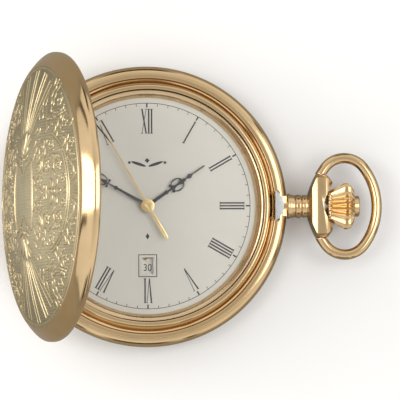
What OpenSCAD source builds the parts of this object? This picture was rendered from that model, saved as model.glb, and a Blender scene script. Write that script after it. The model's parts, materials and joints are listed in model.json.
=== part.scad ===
// Hunter pocket watch, lying on its back with the front cover sprung open.
// Origin: dial axis at the resting plane of the back. +Z out of the dial, +X to 3 o'clock (crown),
// +Y to 12 o'clock. Millimetres.

/* [Case] */
// outer radius of the case band
case_r = 24.5; // [23:0.1:26]
// height of the cover's seat on the case above the resting plane
lip_z = 6.25; // [6:0.05:7]
// radius of the rounded ring that carries the crystal, at its foot
bezel_foot_r = 22.2; // [21.6:0.1:22.6]
// top of that ring
bezel_top_z = 8.8; // [8.2:0.1:9.2]
// sheet thickness of the front cover
cover_t = 0.55; // [0.45:0.05:0.6]
// sheet thickness of the back cover
back_t = 0.8; // [0.6:0.05:1]

/* [Front cover] */
// angle the cover stands open at
open_deg = 75.5; // [0:0.5:88]
// hinge axis, distance from the dial axis
hinge_r = 23.4; // [23:0.1:23.8]
// hinge axis height
hinge_z = 7.05; // [6.9:0.05:7.3]
// hinge knuckle radius
knuckle_r = 1.05; // [0.9:0.05:1.1]
// hinge pin radius
pin_r = 0.4; // [0.3:0.05:0.5]
// edge radius of the engraved disc
disc_r = 22.1; // [21:0.1:22.6]
// crown height of the dome over the disc edge
dome_h = 3.1; // [2.5:0.05:3.3]
// depth of the engraving
relief_h = 0.22; // [0.1:0.02:0.3]

/* [Pendant and bow] */
// height of the stem and pendant axis
stem_z = 4.9; // [4.6:0.1:5.2]
// half width of the bow at its widest
bow_half = 8.45; // [8:0.05:9]
// bow wire radius
bow_wire = 0.9; // [0.7:0.05:1]
// bow pivot, distance from the dial axis
bow_x = 30.5; // [30:0.1:31]
// largest crown radius
crown_r = 4; // [3.5:0.1:4.4]
// grooves round the crown
crown_grooves = 20; // [12:1:30]

/* [Dial and hands] */
// dial top height
dial_z = 6.4; // [6.2:0.1:6.6]
// minute track radius
track_r = 17.9; // [17:0.1:18.2]
// inner end of the hour numerals
numeral_in = 12.6; // [12:0.1:13]
// outer end of the hour numerals
numeral_out = 16.9; // [16:0.1:17.2]
// hour hand direction, degrees clockwise from 12
hour_deg = 54.96; // [0:0.01:360]
// minute hand direction
minute_deg = 299.5; // [0:0.1:360]
// second hand direction
second_deg = 330; // [0:1:360]

/* [View] */
// one sub-part, or all of them

/* [Hidden] */
$fn = 64;
e = 0.02;
print_t = 0.02;
gold = [0.80, 0.62, 0.34];
steel = [0.75, 0.75, 0.77];
dark = [0.08, 0.08, 0.09];
brass = [0.72, 0.58, 0.30];
disc_z = 9.3;
dome_z = disc_z + dome_h;
third_p = [3.06 * cos(20), 3.06 * sin(20)];
mid_p = [2.94 * cos(160), 2.94 * sin(160)];
rotor_p = [5.53 * cos(160), 5.53 * sin(160)];
minw_p = [2.86 * cos(45), 2.86 * sin(45)];
datew_p = [6.9 * cos(200), 6.9 * sin(200)];
cell_p = [0, -7.6];
lever_p = [10.6, 2.4];
pillar_a = [60, 110, 205, 335];

// ---- shared shapes
module ring(ri, ro, z0, z1) {
    translate([0, 0, z0]) difference() {
        cylinder(r = ro, h = z1 - z0, $fn = 128);
        translate([0, 0, -1]) cylinder(r = ri, h = z1 - z0 + 2, $fn = 128);
    }
}
module rod(r, z0, z1, p = [0, 0]) {
    translate([p[0], p[1], z0]) cylinder(r = r, h = z1 - z0);
}
module rod_x(r, x0, x1, y = 0, z = stem_z) {
    translate([x0, y, z]) rotate([0, 90, 0]) cylinder(r = r, h = x1 - x0);
}
module rod_y(r, y0, y1, x, z) {
    translate([x, y0, z]) rotate([-90, 0, 0]) cylinder(r = r, h = y1 - y0);
}
module box(x0, x1, y0, y1, z0, z1) {
    translate([x0, y0, z0]) cube([x1 - x0, y1 - y0, z1 - z0]);
}
module sector(a0, a1, r, z0, z1) {
    translate([0, 0, z0]) rotate([0, 0, a0]) rotate_extrude(angle = a1 - a0) square([r, z1 - z0]);
}
// turned about the stem axis; points are [radius, distance along X]
module turned_x(pts) {
    translate([0, 0, stem_z]) rotate([0, 90, 0]) rotate_extrude($fn = 96) polygon(pts);
}
function tooth(r, d, n, i) = let (a = 360 / n, b = i * a)
    [for (k = [[0, r - d], [0.28, r - d], [0.4, r], [0.62, r], [0.74, r - d]])
        [k[1] * cos(b + k[0] * a), k[1] * sin(b + k[0] * a)]];
module gear(r, n, z0, z1, p = [0, 0], d = 0.14, turn = 0) {
    translate([p[0], p[1], z0]) rotate([0, 0, turn]) linear_extrude(z1 - z0)
        polygon([for (i = [0:n - 1]) each tooth(r, d, n, i)]);
}
// four round windows that leave the spokes of a wheel
module spokes(r, z0, z1, p = [0, 0], s = 4) {
    for (a = [0:s - 1]) rod(r * 0.24, z0 - 1, z1 + 1,
        [p[0] + r * 0.52 * cos(a * 360 / s + 20), p[1] + r * 0.52 * sin(a * 360 / s + 20)]);
}
module opened() {
    translate([-hinge_r, 0, hinge_z]) rotate([0, -open_deg, 0]) translate([hinge_r, 0, -hinge_z])
        children();
}
function arc(cx, cy, r, a0, a1, n) = [for (i = [0:n])
    [cx + r * cos(a0 + (a1 - a0) * i / n), cy + r * sin(a0 + (a1 - a0) * i / n)]];
function dome(r) = dome_z - dome_h * pow(r / disc_r, 2);

// ---- case
module case_middle() color(gold) difference() {
    union() {
        difference() {
            union() {
                rotate_extrude($fn = 128) polygon(concat(
                    [[20.8, 2.1], [21.95, 2.1], [21.95, 3.2], [24.15, 3.2]],
                    arc(case_r - 1.6, 4.7, 1.6, -60, 60, 8),
                    [[23.5, lip_z - 0.05], [23.1, lip_z - 0.05], [23.1, 6.82], [23.02, 6.9],
                        [22.3, 6.9], [22.25, 6.3], [20.8, 6.3]]));
                box(23.4, case_r + 0.08, -1.9, 1.9, 3.35, 6.05);
            }
            // room for the hinge and for the cover's lip to swing
            rod_y(1.25, -6.15, 6.15, -hinge_r, hinge_z);
            difference() {
                sector(152, 208, 26, lip_z - 0.05, 8);
                rod(22.24, 5, 9);
            }
        }
        for (y = [[-6, -3.65], [-1.15, 1.15], [3.65, 6]]) {
            rod_y(knuckle_r, y[0], y[1], -hinge_r, hinge_z);
            box(-hinge_r - 0.6, -hinge_r + 0.6, y[0], y[1], 5.4, hinge_z);
        }
    }
    rod_y(pin_r, -7, 7, -hinge_r, hinge_z);
    ring(20, 22.05, 3.85, 5.35);
    rod_x(1, 20, 26);
    rod_x(1.25, 23.3, 26);
    box(-22.95, -20.5, -1, 1, 4, 5.35);
    // shaft and slot of the cover catch
    box(22.2, 23.12, -2.5, 2.5, 4, 7.5);
    box(22.2, 24, -2.8, 2.8, lip_z - 0.05, 7.5);
}
module bezel() color(gold) rotate_extrude($fn = 128) polygon([[20.3, 6.3], [bezel_foot_r, 6.3],
    [bezel_foot_r, 6.72], [21.9, 6.85], [21.7, 7.1], [21.2, 8.45], [21.05, 8.68], [20.8, bezel_top_z],
    [20.6, bezel_top_z], [20.5, 8.72], [20.5, 7.75], [20.3, 7.75]]);
module crystal() color([0.9, 0.95, 1, 0.25]) rotate_extrude($fn = 128)
    polygon([[0, 7.75], [20.3, 7.75], [20.3, 8.55], [20.2, 8.65], [0, 8.7]]);
module crystal_gasket() color([0.9, 0.9, 0.88]) ring(20.3, 20.5, 7.75, 8.5);
module flange_ring() color(gold) rotate_extrude($fn = 128)
    polygon([[18.8, dial_z], [20.3, dial_z], [20.3, 7.75], [20.0, 7.75], [19.4, 7.5], [19.0, 7.0]]);
module back_gasket() color(dark) ring(20.8, 21.9, 1.86, 2.1);
module back_cover() color(gold) difference() {
    rotate_extrude($fn = 128) polygon([[0, 0], [16.5, 0], [18.5, 0.14], [20.5, 0.55], [22.2, 1.15],
        [23.4, 1.85], [24.0, 2.5], [24.2, 3.15], [22, 3.15], [22, 1.85], [20.7, 1.85], [20.2, 1.45],
        [18, 0.98], [16, back_t], [0, back_t]]);
    // thumb notch for prising it off
    rotate([0, 0, 235]) box(23.8, 26, -2, 2, 2.85, 4);
}

// ---- pendant, bow, crown
module pendant_neck() color(gold) turned_x([[1, 23.3], [1.25, 23.3], [1.25, 24.58], [2.2, 24.58],
    [2.2, 24.85], [2.02, 25.15], [1.98, 25.7], [1.78, 25.86], [1.78, 25.94], [1.98, 26.1],
    [2.0, 26.5], [1.98, 26.85], [1.75, 27.0], [1.75, 27.08], [1.96, 27.24], [1.94, 27.9],
    [1.86, 28.1], [1, 28.1]]);
module pendant_head() color(gold) difference() {
    intersection() {
        turned_x(concat([[1, 28.1], [1.9, 28.1], [2.5, 28.28], [3.3, 28.55], [4.2, 28.9],
            [5.0, 29.28], [5.45, 29.52], [5.56, 29.62], [5.56, 31.35], [5.3, 31.7], [4.4, 32.4],
            [4.15, 32.35]], [[3.6, 31.7], [3.1, 31.2], [2.7, 30.8], [1, 30.8]]));
        translate([0, 6.5, 0]) rotate([90, 0, 0]) linear_extrude(13) polygon([
            for (s = [[28, -2.1], [28.8, -2.45], [29.6, -2.65], [31.35, -2.65], [31.8, -2.35], [32.5, -1.5],
                [32.5, 1.5], [31.8, 2.35], [31.35, 2.65], [29.6, 2.65], [28.8, 2.45], [28, 2.1]])
                [s[0], stem_z + s[1]]]);
    }
    for (s = [-1, 1]) rod_y(0.5, s > 0 ? 4 : -7, s > 0 ? 7 : -4, bow_x, stem_z);
}
module wire_arc(cx, cy, r, a0, a1, w = bow_wire) translate([cx, cy, stem_z]) rotate([0, 0, a0])
    rotate_extrude(angle = a1 - a0, $fn = 96) translate([r, 0]) circle(w, $fn = 48);
// the shoulders are a hair thicker and take the ends of the other arcs inside them
module bow() color(gold) difference() {
    a = asin(0.6);
    r = bow_half - 4.2;
    w = bow_wire - 0.03;
    union() {
        wire_arc(34.65, 4.2, r, a, 180 - a);
        wire_arc(34.65, -4.2, r, a - 180, -a);
        wire_arc(29.05, 0, r + 7, -a - 1.5, a + 1.5, w);
        wire_arc(40.25, 0, r + 7, 178.5 - a, 157, w);
        wire_arc(40.25, 0, r + 7, -157, a - 178.5, w);
    }
    box(28, 33.2, -5.64, 5.64, 3, 7);
    rod_y(0.45, -6.25, 6.25, bow_x, stem_z);
}
module bow_pins() color(steel) for (s = [4.15, -6.25]) rod_y(0.45, s, s + 2.1, bow_x, stem_z);
module crown() color(gold) difference() {
    turned_x([[0.5, 31.6], [2.3, 31.6], [2.45, 31.75], [crown_r - 0.06, 34.4], [crown_r, 34.55],
        [crown_r, 35.4], [3.85, 35.6], [3.2, 36.15], [2.9, 36.25], [1.9, 36.25], [1.82, 36.35],
        [1.82, 37.0], [1.6, 37.2], [0, 37.2], [0, 34], [0.5, 34]]);
    for (i = [0:crown_grooves - 1]) translate([0, 0, stem_z]) rotate([i * 360 / crown_grooves, 0, 0]) {
        translate([31.6, 0, 2.42]) rotate([0, -30.4, 0]) translate([-1, 0, 0]) rotate([45, 0, 0])
            translate([0, -0.16, -0.16]) cube([6, 0.32, 0.32]);
        translate([33.5, 0, crown_r + 0.05]) rotate([45, 0, 0]) translate([0, -0.2, -0.2]) cube([3, 0.4, 0.4]);
    }
}
module stem() color(steel) difference() {
    union() { rod_x(0.32, 8.6, 11); rod_x(0.5, 11, 34); }
    difference() { rod_x(0.8, 11.4, 11.9); rod_x(0.32, 10.9, 12.4); }
}
module sliding_pinion() color(steel) difference() {
    rod_x(0.62, 9, 10.5);
    rod_x(0.35, 8, 11);
    difference() { rod_x(1.2, 9.6, 9.9); rod_x(0.48, 9.5, 10); }
}
module push_sleeve() color(steel) difference() {
    rod_x(0.95, 22.7, 31.3);
    rod_x(0.78, 22, 26.5);
    rod_x(0.55, 22, 32);
}
module stem_bush() color(brass) difference() {
    rod_x(0.74, 23.2, 25.2);
    rod_x(0.54, 23, 26);
}
module catch() color(steel) {
    intersection() {
        rod(3.15, 6.95, 7.5, [20.6, 0]);
        box(22.3, 25, -3, 3, 6.9, 7.6);
    }
    box(22.65, 23.05, -2.3, 2.3, 6.2, 7.0);
    for (s = [-2.3, 1.3]) box(22.65, 23.05, s, s + 1, 4.3, 6.3);
}
module lock_spring() color(steel) difference() {
    intersection() { ring(21.35, 21.9, 4.05, 5.1); sector(7, 76, 24, 3, 6); }
    rod(0.18, 3, 6, [21.62 * cos(73), 21.62 * sin(73)]);
}
module lift_spring() color(steel) {
    difference() {
        intersection() { ring(21.35, 21.9, 4.05, 5.1); sector(110, 177, 24, 3, 6); }
        rod(0.18, 3, 6, [21.62 * cos(113), 21.62 * sin(113)]);
    }
    box(-22.8, -21.65, -0.7, 0.9, 4.15, 5);
}
module spring_screws() color(steel) for (a = [73, 113]) {
    rod(0.18, 3.85, 5.12, [21.62 * cos(a), 21.62 * sin(a)]);
    rod(0.27, 5.1, 5.3, [21.62 * cos(a), 21.62 * sin(a)]);
}

// ---- front cover, drawn closed and swung open
module cover_shell() {
    rotate_extrude($fn = 128) polygon(concat(
        [[23.2, lip_z], [24.15, lip_z], [24.4, lip_z + 0.15], [case_r, lip_z + 0.5], [case_r, 7.5],
            [24.42, 7.75], [24.2, 8.18], [23.85, 8.56], [23.4, 8.87], [22.9, 9.1], [22.45, 9.24]],
        [for (i = [0:8]) [disc_r * (8 - i) / 8, dome(disc_r * (8 - i) / 8)]],
        [for (i = [0:6]) [20.5 * i / 6, dome(20.5 * i / 6) - cover_t]],
        [[21.6, 8.82], [22.4, 8.5], [22.9, 8.1], [23.12, 7.7], [23.2, 7.2]]));
}
module front_cover() color(gold) opened() difference() {
    union() {
        difference() {
            cover_shell();
            box(-25.5, -21.5, -6.12, 6.12, 5.5, hinge_z + 0.9);
        }
        difference() {
            intersection() {
                cover_shell();
                union() for (s = [-3.6, 1.2]) box(-25.5, -22, s, s + 2.4, hinge_z, 9);
            }
            rod_y(0.9, -7, 7, -hinge_r, hinge_z);
        }
        for (s = [-3.6, 1.2]) {
            rod_y(knuckle_r, s, s + 2.4, -hinge_r, hinge_z);
            box(-24.1, -23, s, s + 2.4, hinge_z, 8.1);
        }
    }
    for (y = [[-6.3, -3.6], [-1.2, 1.2], [3.6, 6.3]])
        rod_y(1.2, y[0], y[1], -hinge_r, hinge_z);
    rod_y(pin_r + 0.04, -7, 7, -hinge_r, hinge_z);
    // recess for the catch
    box(22.8, 24, -2.9, 2.9, 6, 7.75);
}
module hinge_pin() color(steel) rod_y(pin_r, -6, 6, -hinge_r, hinge_z);
module band2d(r, w, a0, a1) difference() {
    intersection() {
        circle(r + w / 2, $fn = 96);
        polygon([[0, 0], [40 * cos(a0), 40 * sin(a0)], [40 * cos((a0 + a1) / 2), 40 * sin((a0 + a1) / 2)],
            [40 * cos(a1), 40 * sin(a1)]]);
    }
    circle(r - w / 2, $fn = 96);
}
module relief2d() {
    difference() { circle(22, $fn = 128); circle(21.5, $fn = 128); }
    // plain notched shield in the middle
    difference() {
        intersection() { scale([0.92, 1.12]) circle(6); square([11, 13], center = true); }
        for (s = [-1, 1]) translate([0, s * 6.6]) circle(2.9);
    }
    // compartments on both sides, bead strings, and double rays above and below
    for (q = [0, 180]) rotate(q) translate([8.26, 0]) for (r = [10.1, 10.8]) band2d(r, 0.26, -72, 72);
    for (sx = [-1, 1], sy = [-1, 1], i = [0:15]) translate([sx * (8.4 + i * 0.06), sy * (19.3 - i * 0.5)])
        circle(0.17, $fn = 16);
    for (s = [0, 180]) rotate(s) translate([0, 7.5]) for (a = [-36, -20, 0, 20, 36], w = [-0.42, 0.42])
        rotate(a) translate([w - 0.1, 3.6]) square([0.2, abs(a) > 30 ? 8.6 : 9.7]);
    // flowers
    for (sx = [-1, 1], p = [[10.3, 4.3, 1], [10.3, -4.3, 1], [14.6, 0, 1.1], [14.4, 13.2, 1], [14.4, -13.2, 1]])
        translate([sx * p[0], p[1]]) for (k = [0:5]) rotate(k * 60) translate([1.3 * p[2], 0])
            scale([1, 0.6]) circle(0.95 * p[2], $fn = 32);
}
module cover_relief() color(gold) opened() intersection() {
    translate([0, 0, 8.5]) linear_extrude(5) relief2d();
    rotate_extrude($fn = 128) polygon(concat(
        [for (i = [0:8]) [disc_r * i / 8, dome(disc_r * i / 8)]],
        [for (i = [8:-1:0]) [disc_r * i / 8, dome(disc_r * i / 8) + relief_h]]));
}

// ---- dial side
module dial() color([0.8, 0.78, 0.74]) {
    difference() {
        rod(20.1, 6.0, dial_z, $fn = 128);
        rod(0.9, 5, 7);
        box(-1.0, 1.0, -11.83, -8.97, 5, 7);
    }
    for (a = [75, 255]) rod(0.35, 5, 6, [14.5 * cos(a), 14.5 * sin(a)]);
}
module dial_track() color(dark) {
    ring(track_r - 0.05, track_r + 0.05, dial_z, dial_z + print_t);
    for (i = [0:59]) rotate([0, 0, 6 * i]) if (i % 5 == 0)
        box(track_r - 0.75, track_r - 0.06, -0.125, 0.125, dial_z, dial_z + print_t);
    else box(track_r - 0.5, track_r - 0.06, -0.05, 0.05, dial_z, dial_z + print_t);
}
// numeral strokes on a unit that stands from y = 0 (inner end) to y = h
module glyph(c, h) {
    if (c == "I") {
        translate([-0.25, 0]) square([0.5, h]);
        for (y = [0, h - 0.1]) translate([-0.46, y]) square([0.92, 0.1]);
    } else if (c == "V") {
        polygon([[-0.2, 0], [0.14, 0], [-0.48, h], [-1.0, h]]);
        polygon([[-0.08, 0], [0.12, 0], [0.88, h], [0.68, h]]);
        for (x = [-1.15, 0.5]) translate([x, h - 0.1]) square([x < 0 ? 0.8 : 0.62, 0.1]);
    } else {
        polygon([[0.46, 0], [0.98, 0], [-0.46, h], [-0.98, h]]);
        polygon([[-0.86, 0], [-0.66, 0], [0.86, h], [0.66, h]]);
        for (x = [-1.13, 0.36], y = [0, h - 0.1]) translate([x, y]) square([0.77, 0.1]);
    }
}
function glyph_w(c) = c == "I" ? 1.0 : (c == "V" ? 1.95 : 2.25);
function span(s, n) = n <= 0 ? 0 : glyph_w(s[n - 1]) + span(s, n - 1);
module dial_numerals() color(dark) translate([0, 0, dial_z]) linear_extrude(print_t) {
    h = numeral_out - numeral_in;
    names = ["XII", "I", "II", "III", "IIII", "V", "VI", "VII", "VIII", "IX", "X", "XI"];
    for (i = [0:11]) rotate(-30 * i) scale([0.5, 1]) translate([-span(names[i], len(names[i])) / 2, numeral_in])
        for (k = [0:len(names[i]) - 1])
            translate([span(names[i], k) + glyph_w(names[i][k]) / 2, 0]) glyph(names[i][k], h);
}
// small leaf flourish above the centre and a lozenge below it
module dial_ornament() color(dark) translate([0, 0, dial_z]) linear_extrude(print_t) {
    for (s = [-1, 1]) {
        translate([s * 1.5, 7.3]) rotate(s * 18) scale([1.5, 0.28]) circle(0.9);
        translate([s * 3.1, 7.55]) circle(0.24);
    }
    translate([0, 7.9]) rotate(45) square(0.62, center = true);
    translate([0, -5.3]) scale([0.8, 1.3]) rotate(45) square(0.6, center = true);
}
module date_frame() color(dark) translate([0, 0, dial_z]) linear_extrude(print_t) difference() {
    translate([-1.63, -12.37]) square([3.26, 3.94]);
    translate([-1.49, -12.23]) square([2.98, 3.66]);
}
// flat hand cut from sheet: the solid shapes are drawn first, then the holes
module sheet(z, t) for (i = [0:$children - 1]) translate([0, 0, z]) linear_extrude(t) children(i);
module hour_hand() color(dark) rotate([0, 0, -hour_deg]) difference() {
    sheet(6.75, 0.18) {
        circle(1.12);
        polygon([[-0.32, 0.9], [-0.22, 3.9], [-0.13, 5], [-0.12, 12.05], [0, 12.2], [0.12, 12.05],
            [0.13, 5], [0.22, 3.9], [0.32, 0.9]]);
        translate([0, 4.07]) circle(0.36, $fn = 32);
        translate([-0.58, 5.2]) circle(0.25, $fn = 32);
        translate([0.58, 5.2]) circle(0.25, $fn = 32);
        translate([-0.58, 5.09]) square([1.16, 0.22]);
        translate([0, 6.37]) scale([1.02, 1.14]) circle(1.12, $fn = 48);
        translate([0, 7.85]) circle(0.32, $fn = 32);
        polygon([[-0.42, 8.95], [0, 8.1], [0.42, 8.95], [0, 9.85]]);
    }
    sheet(6.5, 1) {
        circle(0.75);
        translate([0.53, 6.37]) scale([0.36, 0.84]) circle(1, $fn = 40);
        translate([-0.53, 6.37]) scale([0.36, 0.84]) circle(1, $fn = 40);
    }
}
module minute_hand() color(dark) rotate([0, 0, -minute_deg]) difference() {
    sheet(7.1, 0.16) {
        circle(1.02);
        polygon([[-0.3, 0.8], [-0.18, 6.3], [-0.11, 7.5], [-0.1, 16.9], [0, 17.05], [0.1, 16.9],
            [0.11, 7.5], [0.18, 6.3], [0.3, 0.8]]);
        translate([0, 6.33]) circle(0.34, $fn = 32);
        translate([-0.55, 7.9]) circle(0.24, $fn = 32);
        translate([0.55, 7.9]) circle(0.24, $fn = 32);
        translate([-0.55, 7.8]) square([1.1, 0.2]);
        translate([0, 9.4]) scale([0.86, 1.22]) circle(1.12, $fn = 48);
        translate([0, 11.05]) circle(0.3, $fn = 32);
        polygon([[-0.4, 12.3], [0, 11.4], [0.4, 12.3], [0, 13.4]]);
    }
    sheet(6.5, 1) {
        circle(0.4);
        translate([0.44, 9.4]) scale([0.3, 0.9]) circle(1, $fn = 40);
        translate([-0.44, 9.4]) scale([0.3, 0.9]) circle(1, $fn = 40);
    }
}
module second_hand() color([0.84, 0.72, 0.45]) rotate([0, 0, -second_deg]) difference() {
    sheet(7.42, 0.12) {
        circle(1.16);
        polygon([[-0.17, 0], [-0.07, 17], [0.07, 17], [0.17, 0]]);
        polygon([[-0.2, 0], [-0.36, -6.2], [-0.24, -6.62], [0, -6.75], [0.24, -6.62], [0.36, -6.2], [0.2, 0]]);
    }
    sheet(7, 1) {
        circle(0.15, $fn = 32);
        translate([0, -6.2]) circle(0.14, $fn = 32);
    }
}
module date_disc() color([0.9, 0.88, 0.84]) difference() {
    ring(9.1, 12.45, 5.6, 5.8);
    for (i = [0:30]) rotate([0, 0, i * 360 / 31]) rod(0.35, 5, 6, [9.1, 0], $fn = 24);
}
// bar digits: top, top right, low right, bottom, low left, top left, middle
bars = [[0, 0.86], [0.37, 0.43], [0.37, -0.43], [0, -0.86], [-0.37, -0.43], [-0.37, 0.43], [0, 0]];
lit = [[0, 1, 2, 3, 4, 5], [1, 2], [0, 1, 6, 4, 3], [0, 1, 6, 2, 3], [5, 6, 1, 2], [0, 5, 6, 2, 3],
    [0, 5, 6, 2, 3, 4], [0, 1, 2], [0, 1, 2, 3, 4, 5, 6], [0, 1, 2, 3, 5, 6]];
module bar_digit(d) for (k = lit[d]) translate(bars[k])
    square(k == 0 || k == 3 || k == 6 ? [0.56, 0.13] : [0.13, 0.66], center = true);
module date_digits() color(dark) translate([0, 0, 5.8]) linear_extrude(print_t)
    for (n = [1:31]) rotate((n - 30) * 360 / 31) translate([0, -10.75]) {
        if (n > 9) translate([-0.48, 0]) bar_digit(floor(n / 10));
        translate([n > 9 ? 0.48 : 0, 0]) bar_digit(n % 10);
    }

// ---- movement
module movement_ring() color([0.88, 0.88, 0.86]) difference() {
    rotate_extrude($fn = 128) polygon([[12.9, 3.3], [18, 3.3], [18, 1.5], [20.1, 1.5], [20.6, 2.15], [20.6, 5.98], [12.9, 5.98]]);
    rod_x(0.8, 12, 22);
    for (a = [75, 255]) rod(0.35, 5, 7, [14.5 * cos(a), 14.5 * sin(a)]);
    for (a = [30, 150, 210, 330]) rod(0.35, 3, 4.6, [14.4 * cos(a), 14.4 * sin(a)]);
}
module movement_clamps() color(steel) for (a = [30, 150, 210, 330]) rotate([0, 0, a]) difference() {
    box(12.0, 15.3, -0.9, 0.9, 3.1, 3.3);
    rod(0.35, 3, 4, [14.4, 0]);
}
module clamp_screws() color(steel) for (a = [30, 150, 210, 330]) rotate([0, 0, a]) {
    rod(0.35, 3.08, 4.6, [14.4, 0]);
    difference() {
        rod(0.7, 2.85, 3.1, [14.4, 0]);
        box(13.5, 15.3, -0.1, 0.1, 2.7, 2.95);
    }
}
module main_plate() color(brass) difference() {
    union() {
        rod(12.85, 4.4, 5.5, $fn = 128);
        ring(12.55, 12.85, 3.3, 4.45);
        for (a = pillar_a) rod(0.45, 3.5, 4.45, [5.7 * cos(a), 5.7 * sin(a)]);
    }
    rod(0.46, 4, 6);
    rod(4.85, 3, 6, cell_p);
    box(7.4, 14, -1.1, 1.1, 3.2, 6);
    for (a = pillar_a) rod(0.2, 3, 4.2, [5.7 * cos(a), 5.7 * sin(a)]);
    for (p = [third_p, mid_p, rotor_p]) rod(0.14, 4, 4.9, p);
    for (p = [minw_p, datew_p]) rod(0.24, 5, 6, p);
}
module train_bridge() color(brass) difference() {
    rod(6.5, 3.3, 3.5, $fn = 96);
    rod(4.95, 3, 4, cell_p);
    rod(0.19, 3, 4);
    for (p = [third_p, mid_p, rotor_p]) rod(0.14, 3, 4, p);
    for (a = pillar_a) rod(0.2, 3, 4, [5.7 * cos(a), 5.7 * sin(a)]);
}
module bridge_screws() color(steel) for (a = pillar_a) translate([5.7 * cos(a), 5.7 * sin(a), 0]) {
    rod(0.2, 3.28, 4.2);
    difference() {
        rod(0.42, 3.12, 3.3);
        box(-0.5, 0.5, -0.07, 0.07, 3, 3.2);
    }
}
module battery() color(steel) translate([cell_p[0], cell_p[1], 0]) {
    rod(4.3, 3.3, 3.5);
    rod(4.75, 3.48, 5.35);
}
module battery_clip() color(steel) difference() {
    box(-6.3, 6.3, -8.6, -6.6, 3.15, 4.4);
    box(-6.1, 6.1, -9, -6, 3.3, 5);
}
module battery_insulator() color([0.9, 0.75, 0.3]) rod(4.6, 5.35, 5.45, cell_p);
module circuit_board() color([0.1, 0.35, 0.2]) difference() {
    intersection() { ring(6.7, 12.5, 3.55, 3.75); sector(30, 122, 14, 3, 5); }
    rod(0.8, 3, 5, [11.2 * cos(75), 11.2 * sin(75)]);
}
module quartz_can() color(steel) translate([6.6, 6.6, 4.07]) rotate([0, 90, 135])
    translate([0, 0, -1.5]) cylinder(r = 0.32, h = 3);
module control_chip() color(dark) box(-1.2, 0.8, 7.9, 9.7, 3.75, 4.15);
module coil_bobbin() color([0.75, 0.6, 0.3]) rotate([0, 0, 165]) {
    box(8.95, 9.75, -3.9, 3.9, 3.75, 3.95);
    for (s = [-4.3, 3.5]) box(8.7, 10, s, s + 0.8, 3.6, 4.2);
}
module coil_winding() color([0.7, 0.35, 0.15]) rotate([0, 0, 165]) difference() {
    translate([9.35, -3.4, 3.85]) rotate([-90, 0, 0]) scale([1.5, 1, 1]) cylinder(r = 0.42, h = 6.8);
    box(8.95, 9.75, -3.9, 3.9, 3.75, 3.95);
}
module stator() color(steel) difference() {
    union() {
        intersection() { ring(5.0, 6.3, 3.62, 3.78); sector(140, 180, 12, 3, 5); }
        rotate([0, 0, 165]) for (s = [-4.2, 3.6]) box(5.2, 8.65, s * 0.4, s * 0.4 + 0.6, 3.62, 3.78);
    }
    rod(0.62, 3, 5, rotor_p);
}
module rotor() color([0.5, 0.5, 0.55]) {
    rod(0.1, 3.35, 4.7, rotor_p, $fn = 32);
    rod(0.55, 3.56, 3.84, rotor_p, $fn = 32);
    gear(0.35, 10, 3.9, 4.12, rotor_p, 0.1);
}
module step_wheel() color(gold) {
    rod(0.1, 3.35, 4.7, mid_p, $fn = 32);
    gear(0.5, 12, 3.54, 3.78, mid_p, 0.12);
    difference() { gear(2.2, 60, 3.96, 4.06, mid_p, 0.1); spokes(2.2, 3.9, 4.1, mid_p); }
    rod(0.3, 3.7, 4.06, mid_p, $fn = 32);
}
module second_wheel() color(gold) {
    rod(0.15, 3.35, 7.54, $fn = 32);
    gear(0.42, 8, 3.76, 4.0, [0, 0], 0.12);
    difference() { gear(2.4, 60, 3.6, 3.72, [0, 0], 0.1); spokes(2.4, 3.5, 3.8); }
}
module third_wheel() color(gold) {
    rod(0.1, 3.35, 4.7, third_p, $fn = 32);
    gear(0.38, 8, 4.1, 4.36, third_p, 0.11);
    difference() { gear(2.6, 60, 3.84, 3.93, third_p, 0.1); spokes(2.6, 3.8, 4.0, third_p); }
    rod(0.25, 3.84, 4.2, third_p, $fn = 32);
}
module cannon_pinion() color(steel) difference() {
    union() {
        difference() { gear(2.64, 64, 4.16, 4.28, [0, 0], 0.1); spokes(2.64, 4, 4.4); }
        rod(0.4, 4.06, 7.26);
        gear(0.72, 10, 5.52, 5.7, [0, 0], 0.14);
    }
    rod(0.19, 3, 8);
}
module hour_wheel() color(brass) difference() {
    union() {
        gear(2.27, 32, 5.74, 5.9, [0, 0], 0.14);
        rod(0.75, 5.74, 6.93);
    }
    rod(0.45, 5, 8);
}
module minute_wheel() color(brass) {
    rod(0.2, 5.1, 5.93, minw_p, $fn = 32);
    gear(2.1, 30, 5.52, 5.68, minw_p, 0.14);
    gear(0.55, 8, 5.72, 5.92, minw_p, 0.14);
}
module date_driver() color(brass) {
    rod(0.2, 5.1, 5.93, datew_p, $fn = 32);
    gear(1.85, 24, 5.56, 5.78, datew_p, 0.14);
}
module setting_wheel() color(steel) difference() {
    gear(1.2, 20, 5.5, 5.75, [5.5, -1.2], 0.14);
    rod(0.3, 5, 6, [5.5, -1.2]);
}
module setting_lever() color(steel) {
    rod(0.75, 4.05, 4.3, lever_p);
    box(lever_p[0] - 0.3, lever_p[0] + 0.3, 0.3, lever_p[1], 4.05, 4.25);
}
module clutch_yoke() color(steel) {
    rod(0.6, 4.1, 4.4, [11, -2.4]);
    box(8.2, 11, -2.6, -2.2, 4.1, 4.4);
    box(8.2, 8.6, -4.4, -2.2, 4.1, 4.4);
}

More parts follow.
